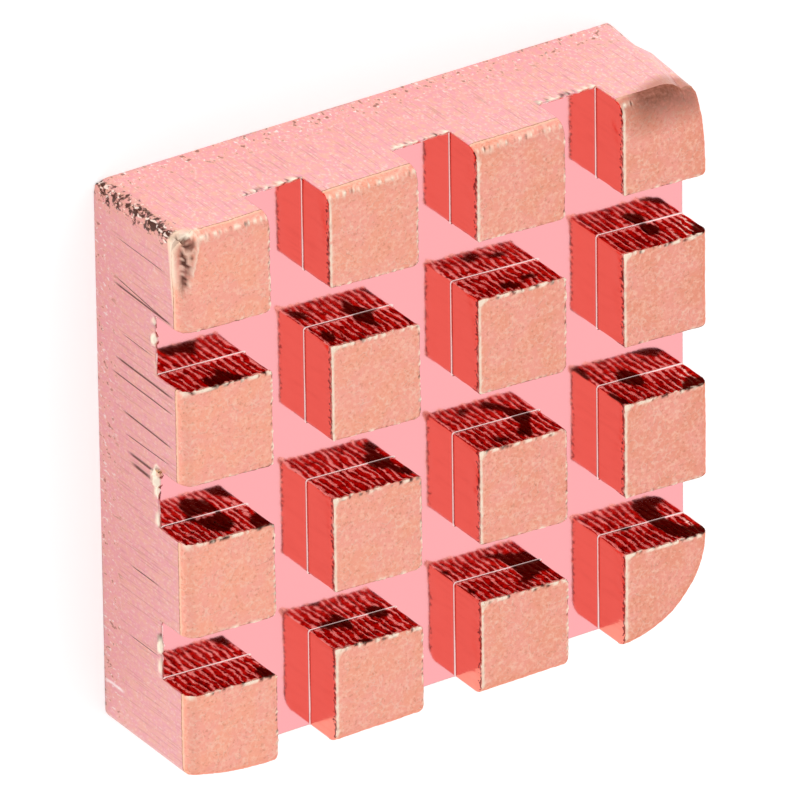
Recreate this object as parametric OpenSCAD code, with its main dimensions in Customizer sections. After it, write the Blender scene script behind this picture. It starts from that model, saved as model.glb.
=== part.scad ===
// Pin fin heat sink for a memory or controller chip.
// A square slab of solid copper. Channels sawn one way and others milled across them leave
// a grid of short square pins on a thick base, so base and pins are one piece.
// X runs across the sawn channels, Y runs along them and Z runs up through the pins.
// The origin is the middle of the underside. Sizes are in millimetres.

/* [Slab] */
// Width of the slab, across the sawn channels
slab_w = 12; // [11:0.1:15]
// Depth of the slab, along the sawn channels
slab_d = 11.84; // [11:0.01:15]
// Thickness of the solid base under the channels
base_h = 2.08; // [1:0.01:4]

/* [Pins] */
// Pins in each row and in each column
pins_a_side = 4; // [3:1:4]
// Width of a pin, along X
pin_w = 2; // [1.5:0.05:2.3]
// Depth of a pin, along Y
pin_d = 2.02; // [1.5:0.01:2.3]
// Height of a pin above the channel floor
pin_h = 0.95; // [0.6:0.05:2]

/* [Cut walls] */
// How far a milled wall drifts sideways across one pin, as the cutter is pushed off
wall_drift = 0.09; // [0:0.01:0.15]
// Spacing of the chatter scallops that the cutter leaves down a milled wall
chatter_step = 0.22; // [0.18:0.01:0.4]
// Depth of a chatter scallop
chatter_depth = 0.03; // [0.01:0.005:0.04]
// Radius that the saw leaves along the foot of a sawn wall
foot_r = 0.08; // [0.03:0.01:0.15]

/* [Worn outside] */
// Radius to which the outer top edges are rolled
rim_r = 0.28; // [0.15:0.01:0.35]
// Radius, seen from above, of the well rounded front right corner
front_right_r = 2; // [0.5:0.1:2.5]
// Radius, seen from above, of the back right corner
back_right_r = 0.6; // [0.3:0.05:1]
// How far the front side falls back at the front left corner
front_left_fall = 0.3; // [0.1:0.05:0.5]
// Length of the front side over which it falls back
front_left_run = 2; // [1:0.1:2.5]
// Length of edge that a knock takes off the top of each back corner
knock_run = 0.75; // [0.4:0.05:1]
// Radius of the knocked face
knock_r = 1.5; // [1.2:0.1:2]

/* [Hidden] */
$fn = 64;
copper = [0.89, 0.55, 0.44];
top_z = base_h + pin_h;
last_pin = pins_a_side - 1;
pitch_x = (slab_w - pin_w) / last_pin;
pitch_y = (slab_d - pin_d) / last_pin;
// Cutting shapes and outer pins run this far past the finished outside
reach = 1;
// Share of the chatter step that a scallop takes; a narrow land is left between two
scallop_share = 0.82;
scallop_half = chatter_step * scallop_share / 2;
scallop_r = (pow(scallop_half, 2) + pow(chatter_depth, 2)) / (2 * chatter_depth);
scallop_count = floor(pin_w / chatter_step);
front_left_r = (pow(front_left_run, 2) + pow(front_left_fall, 2)) / (2 * front_left_fall);
// Inset from the corner of the ball that cuts each of its three edges at knock_run
knock_inset = (knock_run + sqrt(3 * pow(knock_r, 2) - 2 * pow(knock_run, 2))) / 3;

// Turns a shape drawn towards the back right corner so that it faces another corner
module facing(side) {
    mirror([side.x < 0 ? 1 : 0, 0, 0]) mirror([0, side.y < 0 ? 1 : 0, 0]) children();
}

// What rounding takes off a plan corner: the square corner outside a circle
module corner_waste(centre, side, r) {
    translate(centre) facing(side) difference() {
        square(r + reach);
        circle(r);
    }
}

// The slab seen from above, with its unequal corners
module outline() {
    difference() {
        square([slab_w, slab_d], center = true);
        corner_waste([slab_w / 2 - front_right_r, front_right_r - slab_d / 2], [1, -1],
                     front_right_r);
        corner_waste([slab_w / 2 - back_right_r, slab_d / 2 - back_right_r], [1, 1],
                     back_right_r);
        corner_waste([front_left_run - slab_w / 2, front_left_r - slab_d / 2], [-1, -1],
                     front_left_r);
    }
}

// A bar as wide and high as the slab, with both its top edges rolled, lying along Y
module rolled_bar(width, length) {
    rotate([90, 0, 0]) linear_extrude(length, center = true) difference() {
        translate([-width / 2, 0]) square([width, top_z]);
        for (side = [-1, 1])
            translate([side * (width / 2 - rim_r), top_z - rim_r]) facing([side, 1])
                difference() {
                    square(rim_r + reach);
                    circle(rim_r);
                }
    }
}

// What a knock takes off the top of a back corner: the corner outside a ball
module knock_waste(side_x) {
    translate([side_x * slab_w / 2, slab_d / 2, top_z]) facing([side_x, 1]) difference() {
        translate(-(knock_run + foot_r) * [1, 1, 1]) cube(knock_run + reach);
        translate(-knock_inset * [1, 1, 1]) sphere(knock_r, $fn = 96);
    }
}

// The slab before its channels are cut, with its top rim rolled and its corners worn
module blank() {
    difference() {
        intersection() {
            linear_extrude(top_z) outline();
            rolled_bar(slab_w, slab_d + reach);
            rotate([0, 0, 90]) rolled_bar(slab_d, slab_w + reach);
        }
        knock_waste(-1);
        knock_waste(1);
    }
}

// A row of half-round scallops along a milled wall. away is 1 on the back wall of a pin
// and -1 on its front wall, and y is the wall's place at the middle of the pin.
module chatter(left_x, y, away) {
    first_x = (pin_w - (scallop_count - 1) * chatter_step) / 2;
    for (i = [0 : scallop_count - 1]) {
        x = first_x + i * chatter_step;
        drift = wall_drift * (0.5 - x / pin_w);
        translate([left_x + x, y + drift + away * (scallop_r - chatter_depth)])
            circle(scallop_r, $fn = 32);
    }
}

// One pin seen from above. Its milled walls drift across it and are scalloped. An outer
// pin runs past the outline, and the blank trims it there.
module pin_plan(column, row) {
    left_x = column * pitch_x - slab_w / 2;
    front_y = row * pitch_y - slab_d / 2;
    x0 = left_x - (column == 0 ? reach : 0);
    x1 = left_x + pin_w + (column == last_pin ? reach : 0);
    front_run = row == 0 ? reach : 0;
    back_run = row == last_pin ? reach : 0;
    tilt = wall_drift / pin_w;
    middle_x = left_x + pin_w / 2;
    y0 = front_y - front_run + tilt * (middle_x - x0);
    y1 = front_y - front_run + tilt * (middle_x - x1);
    difference() {
        polygon([[x0, y0], [x1, y1], [x1, y1 + pin_d + front_run + back_run],
                 [x0, y0 + pin_d + front_run + back_run]]);
        if (row > 0) chatter(left_x, front_y, -1);
        if (row < last_pin) chatter(left_x, front_y + pin_d, 1);
    }
}

// The small fillet that a saw leaves at the foot of a pin's wall, facing side_x
module foot_fillet(wall_x, row, side_x) {
    middle_y = row * pitch_y - slab_d / 2 + pin_d / 2 - side_x * wall_drift / 2;
    translate([wall_x, middle_y, base_h]) facing([side_x, 1])
        rotate([90, 0, 0]) linear_extrude(pin_d, center = true) difference() {
            translate([-foot_r, -foot_r]) square(2 * foot_r);
            translate([foot_r, foot_r]) circle(foot_r, $fn = 32);
        }
}

// Everything that the channels leave: the base under them, the pins and their fillets
module uncut() {
    translate([0, 0, (base_h - reach) / 2])
        cube([slab_w + 2 * reach, slab_d + 2 * reach, base_h + reach], center = true);
    for (column = [0 : last_pin], row = [0 : last_pin]) {
        left_x = column * pitch_x - slab_w / 2;
        translate([0, 0, base_h / 2]) linear_extrude(top_z) pin_plan(column, row);
        if (column > 0) foot_fillet(left_x, row, -1);
        if (column < last_pin) foot_fillet(left_x + pin_w, row, 1);
    }
}

module heat_sink() {
    color(copper) intersection() {
        blank();
        uncut();
    }
}

heat_sink();
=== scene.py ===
import math

import bmesh
import bpy
import numpy as np
from mathutils import Matrix, Vector, noise


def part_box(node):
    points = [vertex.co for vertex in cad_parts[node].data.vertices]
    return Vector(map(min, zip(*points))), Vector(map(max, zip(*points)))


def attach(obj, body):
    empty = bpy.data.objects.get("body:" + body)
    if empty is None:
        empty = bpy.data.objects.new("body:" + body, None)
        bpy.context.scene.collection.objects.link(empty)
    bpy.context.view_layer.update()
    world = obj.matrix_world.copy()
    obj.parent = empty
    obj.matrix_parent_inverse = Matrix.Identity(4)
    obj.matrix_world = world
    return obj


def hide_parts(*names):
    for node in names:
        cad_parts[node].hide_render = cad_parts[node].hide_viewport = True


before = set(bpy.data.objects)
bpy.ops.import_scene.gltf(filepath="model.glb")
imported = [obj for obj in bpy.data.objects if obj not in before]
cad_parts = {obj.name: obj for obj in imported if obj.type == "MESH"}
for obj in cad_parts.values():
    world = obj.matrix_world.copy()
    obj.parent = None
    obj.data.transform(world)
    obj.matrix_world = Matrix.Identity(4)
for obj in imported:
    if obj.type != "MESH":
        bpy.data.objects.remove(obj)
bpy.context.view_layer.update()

# ---------------------------------------------------------------------------
# The slab. A square of solid copper, cropped from bar, with one corner well
# rounded by the cropping and the front side falling away at another. Nothing
# is fixed to it: base and pins are this one piece.

# It is modelled in millimetres and brought to metres once its shape is done
MM = 0.001
low, high = (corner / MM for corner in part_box("heat_sink"))
slab_w, slab_d, top_z = high - low
base_h = 2.08

bpy.ops.object.select_all(action="DESELECT")
bpy.ops.mesh.primitive_cube_add(size=1, location=(0, 0, base_h / 2))
sink = bpy.context.active_object
sink.name = "copper_heat_sink"
sink.scale = (slab_w, slab_d, base_h)
bpy.ops.object.transform_apply(location=True, rotation=True, scale=True)
bpy.ops.object.mode_set(mode="EDIT")

# ---------------------------------------------------------------------------
# The pins. Three channels are sawn along Y and three milled along X, down to
# one floor, and what stands between them is the grid of pins.

# Anything nearer than this counts as touching
hair = 0.001
pins_a_side = 4
pin_w, pin_d = 2.0, 2.02
pitch_x = (slab_w - pin_w) / (pins_a_side - 1)
pitch_y = (slab_d - pin_d) / (pins_a_side - 1)
lefts = [column * pitch_x - slab_w / 2 for column in range(pins_a_side)]
fronts = [row * pitch_y - slab_d / 2 for row in range(pins_a_side)]
walls_x = sorted(lefts[1:] + [left + pin_w for left in lefts[:-1]])
walls_y = sorted(fronts[1:] + [front + pin_d for front in fronts[:-1]])


def on_pin(point):
    """Whether a place falls on a pin, seen from above."""
    return all(any(start - hair < value < start + size + hair for start in starts)
               for value, starts, size in ((point.x, lefts, pin_w), (point.y, fronts, pin_d)))


def cut_across(axis, places):
    """Cuts what shows of the open mesh across an axis at each of the places."""
    across = Vector([float(number == axis) for number in range(3)])
    for place in places:
        bpy.ops.mesh.select_all(action="SELECT")
        bpy.ops.mesh.bisect(plane_co=place * across, plane_no=across, threshold=hair / 5)


def pick(kind, test):
    """Selects the faces or the edges of the open mesh that pass the test, and no others."""
    bpy.ops.mesh.select_all(action="DESELECT")
    bpy.ops.mesh.select_mode(type=kind)
    shape = bmesh.from_edit_mesh(bpy.context.edit_object.data)
    shape.normal_update()
    for part in shape.faces if kind == "FACE" else shape.edges:
        part.select_set(bool(test(part)))
    bmesh.update_edit_mesh(bpy.context.edit_object.data)


cut_across(0, walls_x)
cut_across(1, walls_y)
pick("FACE", lambda face: face.normal.z > 0.9 and on_pin(face.calc_center_median()))
bpy.ops.mesh.extrude_region_move(TRANSFORM_OT_translate={"value": (0, 0, top_z - base_h)})

# The floor is joined up round each crossing of two channels, and so is the whole underside
cut_across(0, [left + pin_w / 2 for left in lefts])
cut_across(1, [front + pin_d / 2 for front in fronts])


def near_any(value, places, reach=0.02):
    """Whether a value is within reach of any of the places."""
    return any(abs(value - place) < reach for place in places)


def lies_at(face, height, up):
    """Whether a face lies flat at a height, facing up or down."""
    return face.normal.z * up > 0.99 and abs(face.calc_center_median().z - height) < hair


def is_seam(edge):
    """Whether an edge only divides the floor along a wall's line, or divides the underside."""
    if all(lies_at(face, 0, -1) for face in edge.link_faces):
        return True
    start, end = (vert.co for vert in edge.verts)
    on_wall = any(abs(start[axis] - end[axis]) < hair and near_any(start[axis], walls)
                  for axis, walls in ((0, walls_x), (1, walls_y)))
    return on_wall and all(lies_at(face, base_h, 1) for face in edge.link_faces)


pick("EDGE", is_seam)
bpy.ops.mesh.dissolve_edges()

# ---------------------------------------------------------------------------
# The edges. Tumbling rolled the outer top edges well over and broke the other
# edges, and the cutters left a small fillet at the foot of every wall.

rim_r, rim_steps = 0.28, 6
broken_edge, foot_r = 0.03, 0.022


def is_cut_wall(face):
    """Whether a face is a sawn or milled wall inside the channels."""
    middle, normal = face.calc_center_median(), face.normal
    is_sawn = abs(normal.x) > 0.9 and near_any(middle.x, walls_x)
    return is_sawn or (abs(normal.y) > 0.9 and near_any(middle.y, walls_y))


def is_outer_rim(edge):
    """Whether an edge is a top edge of the slab's outside."""
    if min(vert.co.z for vert in edge.verts) < top_z - hair:
        return False
    return not any(is_cut_wall(face) for face in edge.link_faces) and edge.calc_face_angle(0) > 1


def is_corner(point):
    """Whether a place is on one of the slab's four upright corners."""
    return abs(point.x) > slab_w / 2 - rim_r - hair and abs(point.y) > slab_d / 2 - rim_r - hair


def is_broken(edge):
    """Whether an edge is sharp and stands out, and tumbling broke it."""
    if max(vert.co.z for vert in edge.verts) < hair or all(is_corner(v.co) for v in edge.verts):
        return False
    return edge.calc_face_angle_signed(0) > 1


pick("EDGE", is_outer_rim)
bpy.ops.mesh.bevel(offset=rim_r, segments=rim_steps, profile=0.5, affect="EDGES")
pick("EDGE", is_broken)
bpy.ops.mesh.bevel(offset=broken_edge, segments=2, profile=0.5, affect="EDGES")
pick("EDGE", lambda edge: edge.calc_face_angle_signed(0) < -1)
bpy.ops.mesh.bevel(offset=foot_r, segments=2, profile=0.5, affect="EDGES")
bpy.ops.mesh.select_all(action="SELECT")
bpy.ops.mesh.remove_doubles(threshold=hair)

# ---------------------------------------------------------------------------
# The fine cuts. All but the flat floor and the underside is cut up finely, so
# that the wear, the chatter and the burrs can be worked into the metal.

# The size of the cuts over a pin along each axis, over a channel's mouth and up the base
fine_x, fine_y, fine_z, fine_mouth, coarse = 0.038, 0.054, 0.095, 0.045, 0.13
floor_margin = 0.02
# How far in from the outside each line of the rolled rim lies
rim_turns = [math.radians(90 / rim_steps * step) for step in range(1, rim_steps)]
rim_insets = [rim_r * (1 - math.cos(turn)) for turn in rim_turns]


def between(start, end, step):
    """Evenly spaced places between two ends, about a step apart."""
    count = max(1, round((end - start) / step))
    return [start + (end - start) * number / count for number in range(1, count)]


def cuts_along(starts, size, half, fine):
    """Places to cut at along one side of the slab, over the pins and over the mouths between."""
    places = []
    for number, start in enumerate(starts):
        first = rim_r if number == 0 else broken_edge
        last = rim_r if number == pins_a_side - 1 else broken_edge
        places += between(start + first, start + size - last, fine)
        if number < pins_a_side - 1:
            places += between(start + size + foot_r, starts[number + 1] - foot_r, fine_mouth)
    for inset in rim_insets:
        places += [inset - half, half - inset]
    return places


pick("FACE", lambda face: lies_at(face, base_h, 1))
bpy.ops.mesh.inset(thickness=floor_margin)
bpy.ops.mesh.hide(unselected=False)
pick("FACE", lambda face: lies_at(face, 0, -1))
bpy.ops.mesh.hide(unselected=False)
cut_across(2, between(broken_edge, base_h - broken_edge, coarse))
cut_across(2, between(base_h + foot_r, top_z - rim_r, fine_z) + [top_z - rim_r])
cut_across(2, [top_z - inset for inset in rim_insets if inset > broken_edge])
cut_across(0, cuts_along(lefts, pin_w, slab_w / 2, fine_x))
cut_across(1, cuts_along(fronts, pin_d, slab_d / 2, fine_y))
bpy.ops.mesh.reveal(select=False)


def is_under_edge(edge):
    """Whether an edge goes round the underside."""
    return max(vert.co.z for vert in edge.verts) < hair and edge.calc_face_angle_signed(0) > 1


def is_wide_flat(face):
    """Whether a face is a stretch of the floor or the underside that wasn't cut up."""
    return len(face.verts) > 4 and (lies_at(face, base_h, 1) or lies_at(face, 0, -1))


# The underside's edges are just broken, and its corners are drawn to a point each, so that
# it doesn't fold over when it is fanned from its middle like the floor
pick("EDGE", is_under_edge)
bpy.ops.mesh.bevel(offset=broken_edge * 0.6, segments=2, profile=0.5, affect="EDGES")
pick("FACE", lambda face: lies_at(face, 0, -1))
bpy.ops.mesh.remove_doubles(threshold=broken_edge)
pick("FACE", is_wide_flat)
bpy.ops.mesh.poke(center_mode="BOUNDS")

bpy.ops.object.mode_set(mode="OBJECT")

# ---------------------------------------------------------------------------
# The wear. Cropping, knocks and tumbling changed the outside of the slab. Its
# points are moved here, each by where it lay on the fresh-cut shape.


def rows_of(parts, name):
    """A named vector of every vertex or face, one to a row."""
    values = np.empty(len(parts) * 3)
    parts.foreach_get(name, values)
    return values.reshape(-1, 3)


def nearest_pin(values, starts, size):
    """The number of the pin nearest to each value, and how far past its start the value is."""
    numbers = np.abs(values[:, None] - (np.array(starts) + size / 2)).argmin(axis=1)
    return numbers, values - np.array(starts)[numbers]


def grain(size, where=slice(None), seed=0.0):
    """Smooth noise of about a given grain size, along each axis, at some of the points."""
    places = fresh[where] / size + seed * 7.31
    return np.array([noise.noise(place) for place in places])


def ease(values):
    """A smooth step from 0 to 1."""
    values = np.clip(values, 0, 1)
    return values * values * (3 - 2 * values)


points = rows_of(sink.data.vertices, "co")
facing = rows_of(sink.data.vertices, "normal")
fresh = points.copy()
x, y, z = fresh.T
column, along_x = nearest_pin(x, lefts, pin_w)
row, along_y = nearest_pin(y, fronts, pin_d)
on_pins = z > base_h + hair

# The cutter was pushed off each pin as it passed, so its walls drift across it
wall_drift = 0.09
drift_x = [end for left in lefts for end in (left, left + pin_w)]
drift_y = [end for front in fronts for end in (front - foot_r, front + pin_d + foot_r)]
shift = np.interp(x, drift_x, [wall_drift / 2, -wall_drift / 2] * pins_a_side)
held = np.interp(y, [-slab_d / 2] + drift_y[1:-1] + [slab_d / 2], [0] + [1] * 6 + [0])
points[:, 1] += shift * held * (z > base_h - broken_edge - hair)


def round_corner(corner, inwards, radius, chosen=True):
    """Rounds an upright corner: draws the square of points in it onto a disc, with a soft end."""
    soft_end = 0.1
    inwards = np.array(inwards)
    radius = np.broadcast_to(radius, len(points))[:, None]
    local = (points[:, :2] - corner - radius * inwards) * -inwards / radius
    square = local.max(axis=1)
    reach = np.hypot(*local.T)
    soft = (square - 1) * radius[:, 0] / soft_end
    inside = chosen & (local.min(axis=1) > 0) & (soft < 1)
    pull = (square / np.maximum(reach, hair) - 1) * np.clip(1 - soft, 0, 1)
    points[inside, :2] -= (local * pull[:, None] * radius * inwards)[inside]


# The pins' own corners, the front right one rounded most: the way each faces, and its radius
pin_corners = ((1, -1, 0.15), (1, 1, 0.08), (-1, -1, 0.05))
for number_x in range(pins_a_side):
    for number_y in range(pins_a_side):
        mine = on_pins & (column == number_x) & (row == number_y)
        for side_x, side_y, radius in pin_corners:
            end_x = lefts[number_x] + (pin_w if side_x > 0 else 0)
            end_y = fronts[number_y] + (pin_d if side_y > 0 else 0)
            if abs(abs(end_x) - slab_w / 2) < hair or abs(abs(end_y) - slab_d / 2) < hair:
                continue
            end_y -= side_x * wall_drift / 2
            uneven = 1 + 0.3 * noise.noise((number_x * 1.7, number_y * 2.3, side_y))
            round_corner((end_x, end_y), (-side_x, -side_y), radius * uneven, mine)

# The front side falls back at the left, and the right side leans in at the back, by an amount
# that changes with the height
fall, fall_run, lean_run = 0.3, 2.0, 1.6
lean = np.interp(z, [0.9, 1.3, 1.9, 2.9], [0.3, 0.12, 0.14, 0.32])
points[:, 1] += fall * np.clip(1 - (x + slab_w / 2) / fall_run, 0, 1) ** 2 * np.clip(
    1 - (y + slab_d / 2) / pin_d, 0, 1)
points[:, 0] -= lean * np.clip((y - slab_d / 2) / lean_run + 1, 0, 1) ** 2 * np.clip(
    1 + (x - slab_w / 2) / pin_w, 0, 1)

# The four corners of the slab, seen from above
back_right = np.interp(z, [0.1, 0.8, 1.5, 2.9], [0.06, 0.3, 0.5, 0.75])
slab_corners = ((1, -1, 2.0), (1, 1, back_right), (-1, 1, 0.14), (-1, -1, 0.14))
for side_x, side_y, radius in slab_corners:
    corner = np.full((len(points), 2), (side_x * slab_w / 2, side_y * slab_d / 2))
    if (side_x, side_y) == (1, 1):
        corner[:, 0] -= lean
    if (side_x, side_y) == (-1, -1):
        corner[:, 1] += fall
    round_corner(corner, (-side_x, -side_y), radius)

# A knock flattened the top of each back corner: what lay outside a large ball is pressed onto it
knock_run, knock_r, knock_reach = 0.75, 1.5, 0.83
knock_inset = (knock_run + math.sqrt(3 * knock_r ** 2 - 2 * knock_run ** 2)) / 3
for side_x in (-1, 1):
    corner = np.array([side_x * slab_w / 2, slab_d / 2, top_z])
    centre = corner - knock_inset * np.array([side_x, 1, 1])
    away = points - centre
    far = np.linalg.norm(away, axis=1)
    near = (np.abs(points - corner).max(axis=1) < knock_reach) & (far > knock_r)
    points[near] = centre + away[near] * (knock_r / far[near])[:, None]

# ---------------------------------------------------------------------------
# The cutting marks. The cutter chattered down the milled walls, and pushed a
# torn burr up along their top edges and out of the channels' mouths.

# Two stains are kept for the finish: a dark one, which is grime in some places and painted shade in
# others, and pale, which is freshly torn metal
soot, pale = np.zeros(len(points)), np.zeros(len(points))

# The milled walls are ridged from top to foot, and darkened in patches towards their right ends with
# painted shade, a dim part of the room mirrored in them
chatter_step, chatter_depth = 0.16, 0.012
inner_y = (np.abs(y) < slab_d / 2 - rim_r) & on_pins
for side_y in (-1, 1):
    wall = along_y - (pin_d if side_y > 0 else 0)
    milled_on = inner_y & (np.abs(wall) < 0.01) & (facing[:, 1] * side_y > 0.5)
    wander = grain((0.4, 5, 0.35), milled_on, 1.0)
    broken = grain((0.22, 5, 0.3), milled_on, 2.0)
    fine = grain((0.07, 5, 0.25), milled_on, 3.0)
    ridges = np.sin(2 * np.pi * (x[milled_on] / chatter_step + 0.6 * wander)) * (0.6 + 0.8 * broken)
    fade = ease((z[milled_on] - base_h - foot_r / 2) / 0.12) * ease((top_z - z[milled_on]) / 0.08)
    points[milled_on, 1] += side_y * chatter_depth * (ridges + 0.7 * fine) * fade
    # Painted shade: dark patches at the same place on every milled wall
    shade_patch = grain((0.5, 5, 0.7), milled_on, 11.0) + 0.35 * (along_x[milled_on] / pin_w - 0.5)
    soot[milled_on] = 0.97 * ease((shade_patch - 0.25) / 0.05)


def raise_burr(where, nearness, height, size, seed):
    """Raises torn lumps of metal along an edge, each of about a given size."""
    lump = np.clip(grain(size, where, seed) + 0.12, 0, 1) + 0.3 * grain(size / 2, where, seed + 0.5)
    lump *= np.clip(nearness[where], 0, 1)
    points[where] += facing[where] * (height * lump)[:, None]
    pale[where] = np.maximum(pale[where], np.clip(4.5 * lump - 0.2, 0, 1))
    crumbs = grain(size * 0.8, where, seed + 0.9) * np.clip(nearness[where], 0, 1)
    soot[where] = np.maximum(soot[where], np.clip(5 * crumbs - 0.5, 0, 1))


# Along the top edges of the milled walls
to_edge = 1 - np.hypot(along_y - pin_d, z - top_z) / 0.09
raise_burr(inner_y & (to_edge > 0) & (along_y < pin_d + 0.02), to_edge,
           height=0.07, size=0.12, seed=4.0)

# Finely along the other edges of the pin ends, and in a lump at each back left corner
to_side = 1 - np.hypot(np.minimum(along_x, pin_w - along_x), z - top_z) / 0.07
to_front = 1 - np.hypot(along_y, z - top_z) / 0.06
raise_burr(inner_y & (to_side > 0), to_side, height=0.035, size=0.07, seed=5.0)
raise_burr(inner_y & (to_front > 0), 0.6 * to_front, height=0.02, size=0.09, seed=5.7)
to_left = 1 - np.hypot(along_x - 0.015, z - top_z) / 0.055
edged = on_pins & (to_left > 0) & (facing[:, 2] > 0.3)
pale[edged] = np.maximum(pale[edged], 0.8 * ease(1.3 * to_left[edged] + grain(0.12, edged, 5.3)))
soot[edged] *= 0.5
to_corner = 1 - np.sqrt(along_x ** 2 + (along_y - pin_d) ** 2 + (z - top_z) ** 2) / 0.2
lumped = inner_y & (to_corner > 0) & (facing[:, 2] > 0.3)
swell = 0.05 * ease(to_corner[lumped]) * (1 + grain(0.09, lumped, 5.5))
points[lumped] += facing[lumped] * swell[:, None]
pale[lumped] = np.maximum(pale[lumped], ease(2 * to_corner[lumped]))

# Out of the mouths of the channels, most of all on the left side, where four lumps stand up:
# the place of each along the side, its reach and its height
left_lumps = ((3.42, 0.14, 0.07), (0.44, 0.2, 0.1), (0.62, 0.12, 0.05), (-3.22, 0.13, 0.06))
outside = np.maximum(np.abs(x) - slab_w / 2, np.abs(y) - slab_d / 2)
in_gap = (along_x < 0) | (along_x > pin_w) | (along_y < 0) | (along_y > pin_d)
to_mouth = 1 - np.hypot(outside, z - base_h) / 0.09
left_side = x < -slab_w / 2 + 0.1
mouth = in_gap & (to_mouth > 0) & (outside > -0.04)
raise_burr(mouth & (y > slab_d / 2 - 0.1), to_mouth, height=0.06, size=0.1, seed=12.0)
raise_burr(mouth & left_side, 0.7 * to_mouth, height=0.16, size=0.3, seed=13.0)
for place, reach, height in left_lumps:
    blob = 1 - np.sqrt((outside + 0.02) ** 2 + (z - base_h) ** 2 + (y - place) ** 2) / reach
    blobbed = left_side & (blob > 0) & (outside > -0.04)
    points[blobbed] += facing[blobbed] * (height * ease(2 * blob[blobbed]))[:, None]
    pale[blobbed], soot[blobbed] = 1, 0
# The flat of the floor stays clean
flat_floor = (facing[:, 2] > 0.95) & (z < base_h + hair) & (outside < -0.02)
soot[flat_floor], pale[flat_floor] = 0, 0

# ---------------------------------------------------------------------------
# The tumbled finish. Tumbling in ceramic chips left the pin ends peened, and
# dented the slab most at its back edges.

tips = z > top_z - rim_r
dints = 0.007 * grain(0.1, tips, 6.0) + 0.005 * grain(0.05, tips, 7.0) + 0.012 * grain(0.8, tips, 8.0)
points[tips] += facing[tips] * dints[:, None]
sides = (np.abs(facing[:, 2]) < 0.5) & ~inner_y
points[sides] += facing[sides] * (0.008 * grain((1.2, 1.2, 2.4), sides, 9.0))[:, None]

# The upright back left edge is chipped all the way up
to_upright = 1 - np.hypot(x + slab_w / 2, y - slab_d / 2) / 0.25
chipped = (to_upright > 0) & (z < top_z - 0.1)
chip = np.clip(grain((0.3, 0.3, 0.2), chipped, 14.0) + 0.15, 0, 1) * ease(1.6 * to_upright[chipped])
points[chipped] -= facing[chipped] * (0.12 * chip)[:, None]

# The left pin's corner was knocked in: a brown dent narrows to its foot, between pale rims
dent_top, dent_foot, dent_half = 5.86, 4.65, 0.2
along_dent = np.clip((y - dent_foot) / (dent_top - dent_foot), 0, 1.2)
off_dent = np.abs(x + 5.93 - 0.14 * along_dent ** 0.8) / dent_half
half = along_dent ** 0.7
near_dent = tips & (x < -5) & (y > 4.5)
hollow = ease((half - off_dent)[near_dent] / 0.3) * (along_dent[near_dent] > 0)
rim = ease(1 - np.abs(off_dent - half - 0.12)[near_dent] / 0.22) * ease(3 * along_dent[near_dent])
net = grain((0.07, 0.09, 0.2), near_dent, 17.0)
points[near_dent] += facing[near_dent] * (0.03 * rim - 0.05 * hollow + 0.02 * net * hollow)[:, None]
soot[near_dent] = hollow * np.clip(0.65 + 1.5 * net, 0.15, 0.95)
pale[near_dent] = np.maximum(0.7 * rim, 0.35 * hollow * (net < -0.2))
# Beside it the metal is smeared over the back rim
smear = tips & (y > 5.89) & (x > -5.8) & (x < -5.45)
pale[smear] = np.maximum(pale[smear], ease(0.8 + 1.5 * grain(0.15, smear, 18.0)))

# Crumbs of torn and of dark metal line the back rim of every pin
to_rim = 1 - np.hypot(y - slab_d / 2 + 0.06, z - top_z + 0.06) / 0.1
rimmed = on_pins & (to_rim > 0) & (x > 0.1 - slab_w / 2) & (x < lefts[-1] + 0.3)
raise_burr(rimmed, to_rim, height=0.03, size=0.08, seed=20.0)

for name, amounts in (("soot", soot), ("pale", pale)):
    layer = sink.data.attributes.new(name, "FLOAT", "POINT")
    layer.data.foreach_set("value", amounts.astype(np.float32))
sink.data.vertices.foreach_set("co", (points * MM).ravel())
sink.data.update()

# ---------------------------------------------------------------------------
# The copper. One metal in six finishes: a mirror on the floor, bright on the
# sawn walls, torn on the milled walls and along their feet, peened where it was
# tumbled, and drawn on the outer sides. Several of their colours also carry
# painted light and shade, as said where each is set.


class Wire:
    """A node's output that can be reckoned with: an expression adds its Math nodes."""

    def __init__(self, tree, socket):
        self.tree, self.socket = tree, socket

    def maths(self, operation, *values):
        """The result of a Math node with these values or wires put in."""
        node = self.tree.nodes.new("ShaderNodeMath")
        node.operation = operation
        for number, value in enumerate(values):
            if isinstance(value, Wire):
                self.tree.links.new(value.socket, node.inputs[number])
            else:
                node.inputs[number].default_value = value
        return Wire(self.tree, node.outputs[0])

    def __add__(self, other):
        return self.maths("ADD", self, other)

    def __sub__(self, other):
        return self.maths("SUBTRACT", self, other)

    def __mul__(self, other):
        return self.maths("MULTIPLY", self, other)

    def __radd__(self, other):
        return self.maths("ADD", other, self)

    def __rsub__(self, other):
        return self.maths("SUBTRACT", other, self)

    def __rmul__(self, other):
        return self.maths("MULTIPLY", other, self)

    def __abs__(self):
        return self.maths("ABSOLUTE", self)

    def step(self, start, end):
        """Runs evenly from 0 to 1 as the value goes from start to end, and stops there."""
        span = self.maths("MULTIPLY_ADD", self, 1 / (end - start), -start / (end - start))
        span.socket.node.use_clamp = True
        return span


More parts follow.
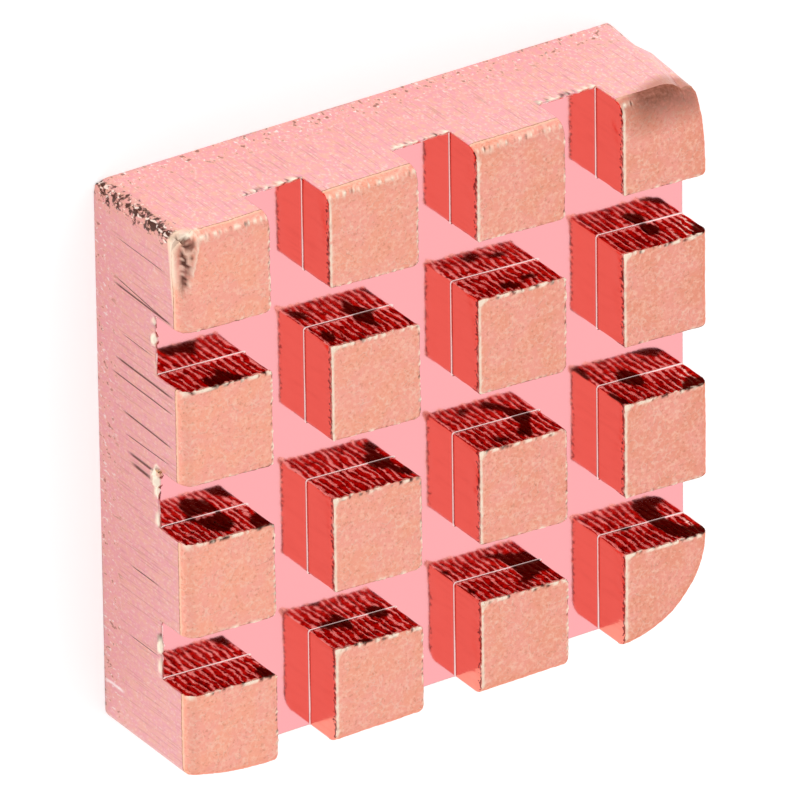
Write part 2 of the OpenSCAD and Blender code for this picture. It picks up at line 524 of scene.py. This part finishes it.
class Finish:
    """A material with a metal shader, and the nodes that vary it."""

    def __init__(self, name, colour, roughness, metallic=1.0):
        self.material = bpy.data.materials.new(name)
        self.material.use_nodes = True
        self.tree = self.material.node_tree
        self.shader = self.tree.nodes["Principled BSDF"]
        self.shader.inputs["Base Color"].default_value = (*colour, 1)
        self.shader.inputs["Metallic"].default_value = metallic
        self.shader.inputs["Roughness"].default_value = roughness

    def feed(self, socket, value):
        """Puts a value, a colour or a wire into a socket."""
        if isinstance(value, Wire):
            self.tree.links.new(value.socket, socket)
        elif isinstance(value, (tuple, list)) and len(value) == 3 and len(socket.default_value) == 4:
            socket.default_value = (*value, 1)
        else:
            socket.default_value = value

    def add(self, kind, settings=None, sockets=None, out=0):
        """Adds a node: its type, its settings, then the values or wires of its sockets."""
        node = self.tree.nodes.new("ShaderNode" + kind)
        for name, value in (settings or {}).items():
            setattr(node, name, value)
        for name, value in (sockets or {}).items():
            self.feed(node.inputs[name], value)
        return Wire(self.tree, node.outputs[out])

    def millimetres(self, stretch=(1, 1, 1)):
        """The place on the object in millimetres, squeezed along each axis by stretch."""
        place = self.add("TexCoord", out="Object")
        scale = tuple(1 / (MM * part) for part in stretch)
        return self.add("Mapping", None, {"Vector": place, "Scale": scale})

    def noise(self, size, stretch=(1, 1, 1), detail=2.0, rough=0.5):
        """Grey noise of a given grain size in millimetres, from 0 to 1."""
        return self.add("TexNoise", None, {"Vector": self.millimetres(stretch), "Scale": 1 / size,
                                           "Detail": detail, "Roughness": rough}, out="Fac")

    def blend(self, amount, first, second):
        """A mix of two colours."""
        return self.add("Mix", {"data_type": "RGBA"}, {"Factor": amount, 6: first, 7: second}, out=2)

    def bump(self, height, depth):
        """Sets the normal from a height of 0 to 1 that stands for a depth in millimetres."""
        normal = self.add("Bump", None, {"Height": height, "Strength": 1.0, "Distance": depth * MM})
        self.tree.links.new(normal.socket, self.shader.inputs["Normal"])

    def axes(self):
        """The place on the object along X, Y and Z in millimetres, each on its own."""
        node = self.tree.nodes.new("ShaderNodeSeparateXYZ")
        self.tree.links.new(self.millimetres().socket, node.inputs[0])
        return [Wire(self.tree, output) for output in node.outputs]

    def stain(self, name):
        """How strongly the points carry a named stain: the dark one of grime and painted shade, the pale
        one of torn metal.
        """
        return self.add("Attribute", {"attribute_name": name}, out="Fac")

    def colour(self, colour):
        """Sets the colour, with the grime and painted shade and the torn metal over it."""
        dark_grime_and_shade, torn_metal = (0.07, 0.02, 0.014), (1.0, 0.84, 0.68)
        grimed_and_shaded = self.blend(self.stain("soot"), colour, dark_grime_and_shade)
        torn = self.blend(self.stain("pale"), grimed_and_shaded, torn_metal)
        self.tree.links.new(torn.socket, self.shader.inputs["Base Color"])


# The floor is as good as a mirror
floor_copper = (0.98, 0.41, 0.43)
floor_finish = Finish("copper sawn floor", floor_copper, roughness=0.08)
floor_finish.colour(floor_copper)
floor_finish.bump(floor_finish.noise(0.6, detail=1.0), depth=0.001)

# The sawn walls are bright, with a ragged dark line where they meet the pin ends. Their red, deeper than
# the floor's, is partly painted light: the reddening of light bounced between the copper walls of the
# channels
sawn_red_partly_painted_bounce = (0.95, 0.26, 0.19)
sawn = Finish("copper sawn wall", sawn_red_partly_painted_bounce, roughness=0.16)
_, _, up = sawn.axes()
ragged = (sawn.noise(0.07, detail=2.0) * 0.4 + up).step(top_z + 0.11, top_z + 0.13)
streaks = sawn.noise(0.06, (1, 1, 12), detail=1.0).step(0.5, 0.75)
wall_colour = sawn.blend(streaks * 0.35, sawn_red_partly_painted_bounce, (0.8, 0.17, 0.12))
foot_shade = up.step(base_h + 0.055, base_h + 0.035)
wall_colour = sawn.blend(foot_shade * 0.8, wall_colour, (0.4, 0.04, 0.03))
sawn.colour(sawn.blend(ragged * 0.9, wall_colour, (0.2, 0.015, 0.01)))
sawn.bump(sawn.noise(0.04, (1, 1, 8)), depth=0.001)

# Where the cutter's corner ran, the metal is torn and scatters the light. Its pale colour is partly a
# painted highlight, the room's light mirrored in the fillet
foot_copper_torn_and_highlit = (1.0, 0.7, 0.68)
foot_finish_torn_and_highlit = Finish("copper foot, torn and painted highlight", foot_copper_torn_and_highlit, roughness=0.2)
foot_finish_torn_and_highlit.colour(foot_copper_torn_and_highlit)
foot_finish_torn_and_highlit.bump(foot_finish_torn_and_highlit.noise(0.05), depth=0.004)

# Ridges torn by the chatter run down the wall. Their colour is painted light: pale on the crests and
# towards the foot, a painted highlight, and dark red between them, painted shade, for the room mirrored
# in the ridges
milled = Finish("copper milled", (0.9, 0.33, 0.3), roughness=0.25)
across, _, up = milled.axes()
wander = milled.noise(0.35, (1, 1, 1.5), detail=1.0)
wave = (across * (1 / chatter_step) + wander * 1.4) * (2 * math.pi)
beads = milled.noise(0.075, (1, 1, 2), detail=2.0, rough=0.6)
crest = wave.maths("SINE", wave) * 0.3 + beads * 1.25 - 0.07
scallop = up.step(base_h + 0.14, base_h + 0.03) * 0.4
ridge = (crest + scallop).step(0.63, 0.8)
# The dark reds between the ridges are painted shade, the pale crest colour a painted highlight
valley_painted_shade = milled.blend(beads.step(0.36, 0.54), (0.24, 0.009, 0.007), (0.58, 0.035, 0.025))
milled.colour(milled.blend(ridge, valley_painted_shade, (1.0, 0.64, 0.57)))
milled.shader.inputs["Specular Tint"].default_value = (0.5, 0.1, 0.1, 1)
milled.bump(crest, depth=0.025)

# The pin ends are beaten all over, with fine pale threads between the dints
peened = Finish("copper peened", (0.98, 0.44, 0.31), roughness=0.45)
across, along, up = peened.axes()
pebbles = peened.noise(0.075, detail=3.0, rough=0.6)
off_level = peened.noise(0.2, detail=1.0) - 0.5
threads = abs(off_level).step(0.045, 0.0) * peened.noise(0.33).step(0.38, 0.6)
# The pin ends darken towards the right: painted shade, for the light falling off across the slab
tips_painted_shade_rightwards = peened.blend(across.step(-slab_w / 2, slab_w / 2), (0.95, 0.42, 0.3), (0.84, 0.335, 0.235))
cloudy = peened.blend(peened.noise(0.6).step(0.4, 0.6) * 0.5, tips_painted_shade_rightwards, (0.93, 0.4, 0.35))
pitted = peened.blend(peened.noise(0.06, detail=2.0).step(0.42, 0.3) * 0.45, cloudy, (0.55, 0.22, 0.14))
beaten = peened.blend(pebbles.step(0.48, 0.68) * 0.6, pitted, (1.0, 0.6, 0.45))
tip_colour = peened.blend(threads * 0.35, beaten, (1.0, 0.74, 0.6))
# The back of the right pin is darkened brown with painted shade, where its rolled back edge turns from
# the light
rolled_back_painted_shade = along.step(5.0, 5.85) * across.step(3.85, 4.5) * across.step(6.3, 5.6)
tip_colour = peened.blend(rolled_back_painted_shade * (pebbles * 0.8 + 0.5), tip_colour, (0.24, 0.085, 0.055))
# The foot of the rolled rim is a thin brown line under a pale one
above_roll = up - (top_z - rim_r)
tip_colour = peened.blend(above_roll.step(0.09, 0.03) * (1 - rolled_back_painted_shade) * 0.7, tip_colour, (1.0, 0.7, 0.5))
brown_line = (above_roll + pebbles * 0.04).step(0.045, 0.03) * across.step(4.2, 3.9) * 0.8
tip_colour = peened.blend(brown_line, tip_colour, (0.35, 0.14, 0.08))
peened.colour(tip_colour)
peened.shader.inputs["Specular Tint"].default_value = (0.9, 0.55, 0.45, 1)
peened.bump(pebbles + threads * 0.3, depth=0.016)

# Fine drawing lines run up the outer sides, above a mottled band that they don't reach
drawn = Finish("copper drawn", (0.94, 0.44, 0.46), roughness=0.3)
across, along, up = drawn.axes()
lined = up.step(0.5, 0.75)
lines = drawn.noise(0.035, (1, 1, 25), detail=1.0)
mottle = drawn.noise(0.11, (1, 1, 1.5), detail=4.0, rough=0.7)
grit = drawn.noise(0.045, (1, 1, 1.6), detail=2.0)
side_colour = drawn.blend(mottle.step(0.42, 0.62), (0.9, 0.41, 0.45), (0.93, 0.5, 0.39))
side_colour = drawn.blend(grit.step(0.54, 0.7) * 0.7, side_colour, (1.0, 0.72, 0.66))
side_colour = drawn.blend(lines.step(0.56, 0.7) * lined * 0.5, side_colour, (0.6, 0.27, 0.22))
low_band = 1 - up.step(0.4, 0.9)
nicks = drawn.noise(0.11, (1, 1, 1.5), detail=2.0).step(0.63, 0.68) * low_band
side_colour = drawn.blend(nicks * 0.8, side_colour, (0.3, 0.1, 0.08))
flecks = drawn.noise(0.08, (1, 1, 1.8), detail=2.0).step(0.62, 0.67) * low_band
side_colour = drawn.blend(flecks, side_colour, (1.0, 0.86, 0.82))
# The left side is painted duller than the back: painted shade, as less light falls on it
left_side_painted_shade = across.step(0.3 - slab_w / 2, 0.1 - slab_w / 2)
side_colour = drawn.blend(left_side_painted_shade * 0.3, side_colour, (0.5, 0.2, 0.21))
# The upright back left edge is scarred, brown in its chips and white where metal stands up
by_upright = (across + slab_w / 2 + slab_d / 2 - along).step(0.55, 0.05)
chips = (drawn.noise(0.16, detail=4.0, rough=0.7) + by_upright * 0.4).step(0.78, 0.86)
side_colour = drawn.blend(by_upright * 0.5, side_colour, (0.8, 0.4, 0.27))
side_colour = drawn.blend(chips * 0.95, side_colour, (0.06, 0.02, 0.014))
splinters = (drawn.noise(0.08, (1, 1, 1.6), detail=1.0) + by_upright * 0.3).step(0.84, 0.89)
side_colour = drawn.blend(splinters * 0.85, side_colour, (1.0, 0.8, 0.7))
# Where the corner of the left pin is knocked in, pale metal widens towards the corner
knocked = (up + along.step(4.2, 5.8) * 0.17 - top_z + rim_r).step(-0.02, 0.03) * across.step(-5.5, -5.8)
side_colour = drawn.blend(knocked * along.step(4.1, 4.5) * 0.8, side_colour, (1.0, 0.74, 0.55))

# The other knocked corner is darkened brown further down: painted shade, where the flattened corner
# turns from the light
knock_painted_shade = (up + across.step(3.9, 5.6) * 0.5 - top_z + rim_r).step(-0.05, 0.2) * along.step(5.4, 5.7)
side_colour = drawn.blend(knock_painted_shade * across.step(3.9, 4.8) * 0.8, side_colour, (0.5, 0.2, 0.13))

# A whitish smear near the front of the left side
off_rub = abs(along + 4.75 + drawn.noise(0.2) * 0.05)
rub = off_rub.step(0.05, 0.01) * up.step(0.02, 0.1) * up.step(0.76, 0.6) * across.step(-5.5, -5.8)
side_colour = drawn.blend(rub * 0.8, side_colour, (0.95, 0.85, 0.85))

# Deep scratches on the left side: the place of each along it, its slant, the heights where it
# starts and ends, and its width
scratches = (
    (4.1, -0.03, 0.64, 2.66, 0.03), (4.3, -0.11, 0.69, 2.6, 0.016), (2.5, -0.02, 0.65, 2.71, 0.032),
    (2.15, -0.02, 0.5, 2.67, 0.02), (1.46, -0.04, 0.86, 2.61, 0.026), (0.96, 0.0, 0.95, 2.49, 0.015),
    (0.62, -0.02, 1.0, 2.07, 0.042), (0.47, -0.05, 1.1, 1.95, 0.05), (-1.85, 0.0, 1.02, 2.05, 0.018),
    (-3.4, 0.0, 0.9, 2.0, 0.012), (3.1, -0.02, 0.9, 2.0, 0.01), (5.1, -0.02, 0.8, 2.5, 0.01))
scratched = 0.0
for place, slant, start, end, width in scratches:
    off_line = abs(along - place - up * slant)
    on_line = off_line.step(width, width * 0.3) * up.step(start, start + 0.25)
    scratched = on_line * up.step(end + 0.05, end - 0.25) + scratched
scratched *= across.step(0.5 - slab_w / 2, 0.4 - slab_w / 2)
drawn.colour(drawn.blend(scratched.step(0, 1), side_colour, (0.16, 0.05, 0.04)))
drawn.bump(lines * lined * 0.6 + mottle * 0.5 + grit * 0.5 - scratched * 2, depth=0.008)

# Each face takes its finish from where it lay on the fresh-cut shape
for finish in (floor_finish, sawn, milled, peened, drawn, foot_finish_torn_and_highlit):
    sink.data.materials.append(finish.material)
FLOOR, SAWN, MILLED, PEENED, DRAWN, FOOT_TORN_AND_HIGHLIT = range(6)

middles = np.array([sum((fresh[v] for v in face.vertices), np.zeros(3)) / len(face.vertices)
                    for face in sink.data.polygons])
outwards = rows_of(sink.data.polygons, "normal")
faces_x, faces_y, faces_z = np.abs(outwards).T
face_x, face_y, face_z = middles.T
inside = (np.abs(face_x) < slab_w / 2 - broken_edge) & (np.abs(face_y) < slab_d / 2 - broken_edge)
sunk = inside & (face_z > hair)
top = face_z > top_z - broken_edge
by_side = (np.abs(face_x) > slab_w / 2 - rim_r) | (np.abs(face_y) > slab_d / 2 - rim_r)
in_rim = (face_z > top_z - rim_r) & by_side
finishes = np.select([top | in_rim, sunk & (face_z < base_h + hair), sunk], [PEENED, FLOOR, SAWN], DRAWN)
finishes[(finishes == SAWN) & (faces_y > 0.6)] = MILLED
foot_slope = (faces_z < 0.99) & (face_z > base_h - hair) & (face_z < base_h + foot_r)
finishes[foot_slope & sunk] = FOOT_TORN_AND_HIGHLIT
wall_end = in_rim & inside & ~top
on_sawn = np.array([near_any(value, walls_x, 0.01) for value in face_x])
on_milled = np.array([near_any(value, walls_y, 0.07) for value in face_y])
finishes[wall_end & (faces_x > 0.8) & on_sawn] = SAWN
finishes[wall_end & (faces_y > 0.8) & on_milled] = MILLED
sink.data.polygons.foreach_set("material_index", finishes.astype(np.int32))
sink.data.update()
bpy.ops.object.select_all(action="DESELECT")
sink.select_set(True)
bpy.context.view_layer.objects.active = sink
bpy.ops.object.shade_smooth_by_angle(angle=math.radians(50))
level = (faces_z > 0.9999) & ((face_z < hair) | (np.abs(face_z - base_h) < hair))
sink.data.polygons.foreach_set("use_smooth", ~level)

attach(sink, "root")
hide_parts("heat_sink")

# ---------------------------------------------------------------------------
# The table that it lies on. A plain white sheet, wide enough for its edge
# never to be seen.

bpy.ops.mesh.primitive_plane_add(size=4, location=(0, 0, 0))
table = bpy.context.active_object
table.name = "table"
# The paper glows a little where it is looked at or mirrored, so that it shows as white
paper_glow = 0.34
paper = Finish("white paper", (0.9, 0.9, 0.9), roughness=0.9, metallic=0.0)
paper.shader.inputs["Specular IOR Level"].default_value = 0.0
light_path = paper.tree.nodes.new("ShaderNodeLightPath")
seen = Wire(paper.tree, light_path.outputs["Is Camera Ray"]) + Wire(
    paper.tree, light_path.outputs["Is Glossy Ray"])
paper.shader.inputs["Emission Color"].default_value = (1, 1, 1, 1)
paper.tree.links.new((seen * paper_glow).socket, paper.shader.inputs["Emission Strength"])
table.data.materials.append(paper.material)

# ---------------------------------------------------------------------------
# The light. An even white room, a softbox past the front right and a low one
# past the back.

room_strength = 0.92
room = bpy.data.worlds.new("white room")
room.use_nodes = True
room.node_tree.nodes["Background"].inputs["Color"].default_value = (1, 1, 1, 1)
room.node_tree.nodes["Background"].inputs["Strength"].default_value = room_strength
bpy.context.scene.world = room


def direction(azimuth, height_angle):
    """The way from the object out to a place, with azimuth turned from the front, in degrees."""
    turn, rise = math.radians(azimuth), math.radians(height_angle)
    return Vector((math.sin(turn) * math.cos(rise), -math.cos(turn) * math.cos(rise), math.sin(rise)))


def softbox(name, azimuth, height_angle, distance, size, brightness):
    """A square lamp facing the object. Its brightness is radiance."""
    towards = direction(azimuth, height_angle)
    bpy.ops.object.light_add(type="AREA", location=towards * distance)
    lamp = bpy.context.active_object
    lamp.name = name
    lamp.rotation_euler = towards.to_track_quat("Z", "Y").to_euler()
    lamp.data.shape = "SQUARE"
    lamp.data.size = size
    lamp.data.energy = brightness * math.pi * size ** 2


softbox("far_softbox", azimuth=45, height_angle=48, distance=0.6, size=0.5, brightness=0.12)
softbox("low_softbox", azimuth=155, height_angle=18, distance=0.6, size=0.4, brightness=0.35)

# ---------------------------------------------------------------------------
# The camera. It looks down at the back left corner from far off, and is rolled
# over so that the back of the slab is at the top of the picture.

view_azimuth, view_height, view_roll = 225.39, 47.69, 125.4
view_distance, view_lens = 0.3054, 719.3
aim = Vector((-0.148, 0.133, 1.5)) * MM
back = direction(view_azimuth, view_height)
bpy.ops.object.camera_add(location=aim + back * view_distance)
camera = bpy.context.active_object
unrolled = back.to_track_quat("Z", "Y").to_matrix()
camera.rotation_euler = (unrolled @ Matrix.Rotation(math.radians(view_roll), 3, "Z")).to_euler()
camera.data.lens = view_lens
camera.data.clip_start = 0.01
bpy.context.scene.camera = camera
bpy.context.scene.view_settings.view_transform = "Standard"
